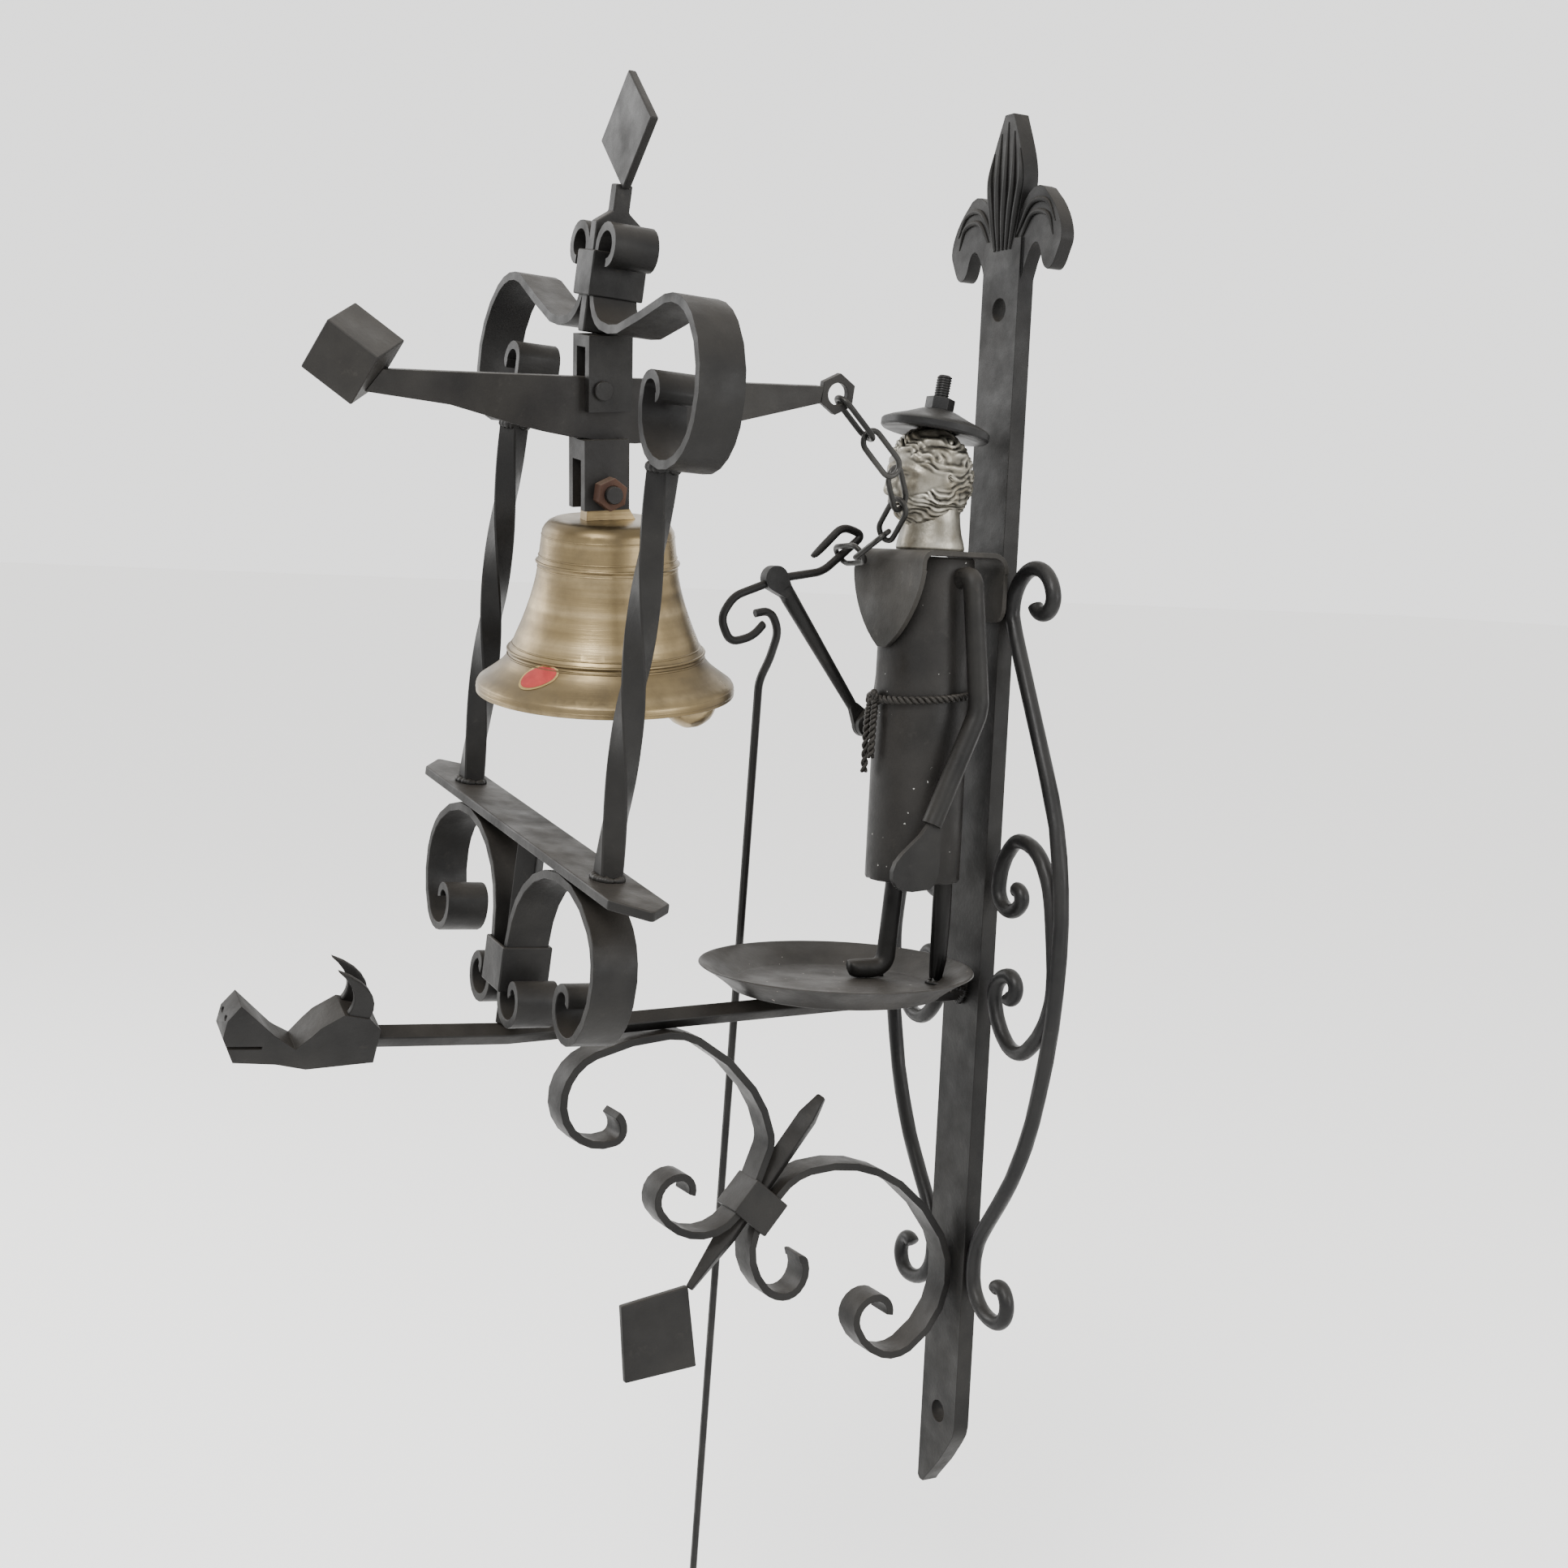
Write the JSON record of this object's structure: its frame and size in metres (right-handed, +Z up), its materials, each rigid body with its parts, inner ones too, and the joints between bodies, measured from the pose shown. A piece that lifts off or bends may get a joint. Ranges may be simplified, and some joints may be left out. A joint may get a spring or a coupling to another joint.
{
  "type": "wall mounted bell",
  "caption": "Wall bell on a forged scroll bracket, where a hooded iron figure pulls a chain that rocks a brass bell in a twisted-bar belfry",
  "frame": {"origin": "midway between the two wall holes, on the back face of the strap", "axes": "+Z up along the strap, -Y out from the wall along the arm, +X to the right when facing the wall"},
  "size_m": [0.297, 0.3082, 0.697],
  "materials": {
    "iron": "blackened, matte, brown-grey where worn",
    "dark_iron": "blackened, darker, satin",
    "dish_iron": "blackened sheet with a chipped pale rim",
    "rocker_iron": "blackened, matte, scuffed",
    "chain_steel": "dull grey wire",
    "rusty_steel": "rusty brown",
    "bell_brass": "tarnished, brushed round, darker near the shoulder",
    "cast_bronze": "aged cast, silver-gold on the high spots",
    "twisted_wire": "dark twisted wire"
  },
  "bodies": {
    "frame": {"wall_strap": "iron", "bow_scroll_right": "dark_iron", "bow_scroll_left": "dark_iron", "c_scroll_right": "dark_iron", "c_scroll_left": "dark_iron", "support_arm": "iron", "beast_head": "iron", "beast_horns": "iron", "bracket_scroll_upper": "iron", "bracket_scroll_lower": "iron", "bracket_spear": "iron", "bracket_diamond": "iron", "bracket_collar": "iron", "base_bar": "iron", "base_scroll_right": "iron", "base_scroll_left": "iron", "base_collar": "iron", "belfry_plate": "iron", "post_right": "iron", "post_left": "iron", "crown_scroll_right": "iron", "crown_scroll_left": "iron", "crown_bar": "iron", "crown_diamond": "iron", "crown_collar": "iron", "hanger_fork": "iron", "pivot_rivet": "iron", "drip_dish": "dish_iron", "robe": "iron", "mantle": "iron", "head": "cast_bronze", "hat": "dark_iron", "hat_nut": "dark_iron", "hat_stud": "dark_iron", "near_arm": "iron", "far_upper_arm": "iron", "leg_right": "iron", "leg_left": "iron", "rope_belt": "twisted_wire", "belt_tails": "twisted_wire", "elbow_rivet": "iron"},
    "rocker": {"rocker_beam": "rocker_iron", "cube_weight": "rocker_iron", "eye_nut": "rocker_iron", "bell_stirrup": "rocker_iron", "bell_bolt": "rocker_iron", "bell_nut": "rusty_steel"},
    "bell": {"bell": "bell_brass"},
    "clapper": {"clapper_rod": "iron", "clapper_ball": "iron"},
    "ring_arm": {"far_forearm": "iron", "pull_wire": "iron"},
    "pull_rod": {"pull_rod": "iron"},
    "chain_1": {"chain_link_1": "chain_steel"},
    "chain_2": {"chain_link_2": "chain_steel"},
    "chain_3": {"chain_link_3": "chain_steel"},
    "chain_4": {"chain_link_4": "chain_steel"},
    "chain_5": {"chain_link_5": "chain_steel"},
    "chain_6": {"chain_link_6": "chain_steel"}
  },
  "joints": [
    {"name": "rocker_pivot", "type": "hinge", "parent": "frame", "child": "rocker", "pos_m": [0.03189, -0.19228, 0.17755], "axis": [0.9905, -0.0055, -0.1373], "range_deg": [-8, 10]},
    {"name": "bell_swing", "type": "hinge", "parent": "rocker", "child": "bell", "pos_m": [0.02721, -0.18714, 0.14364], "axis": [0.9905, -0.0055, -0.1373], "range_deg": [-10, 10]},
    {"name": "clapper_swing", "type": "hinge", "parent": "bell", "child": "clapper", "pos_m": [0.02469, -0.18179, 0.12519], "axis": [0.9905, -0.0055, -0.1373], "range_deg": [-56, 0]},
    {"name": "elbow_pivot", "type": "hinge", "parent": "frame", "child": "ring_arm", "pos_m": [-0.026, -0.0428, 0.0584], "axis": [1, 0, 0], "range_deg": [0, 8]},
    {"name": "rod_swing", "type": "hinge", "parent": "ring_arm", "child": "pull_rod", "pos_m": [-0.026, -0.0915, 0.0995], "axis": [1, 0, 0], "range_deg": [-9, 9]},
    {"name": "chain_1_swing", "type": "hinge", "parent": "rocker", "child": "chain_1", "pos_m": [0.0325, -0.095, 0.1805], "axis": [0.9905, -0.0055, -0.1373], "range_deg": [-8, 8]},
    {"name": "chain_2_swing", "type": "hinge", "parent": "chain_1", "child": "chain_2", "pos_m": [0.0312, -0.0824, 0.169], "axis": [0.9903, 0, -0.1386], "range_deg": [-8, 8]},
    {"name": "chain_6_swing", "type": "hinge", "parent": "ring_arm", "child": "chain_6", "pos_m": [-0.0277, -0.0575, 0.1256], "axis": [0, 0.7768, 0.6298], "range_deg": [-6, 6]},
    {"name": "chain_5_swing", "type": "hinge", "parent": "chain_6", "child": "chain_5", "pos_m": [-0.0105, -0.0585, 0.1265], "axis": [0, -0.6, 0.8], "range_deg": [-6, 6]},
    {"name": "chain_4_swing", "type": "hinge", "parent": "chain_5", "child": "chain_4", "pos_m": [0.005, -0.0575, 0.134], "axis": [0, 0.8, 0.6], "range_deg": [-6, 6]},
    {"name": "chain_3_swing", "type": "hinge", "parent": "chain_4", "child": "chain_3", "pos_m": [0.0175, -0.0585, 0.1455], "axis": [0.6498, 0.3399, -0.6798], "range_deg": [-4, 4]}
  ]
}
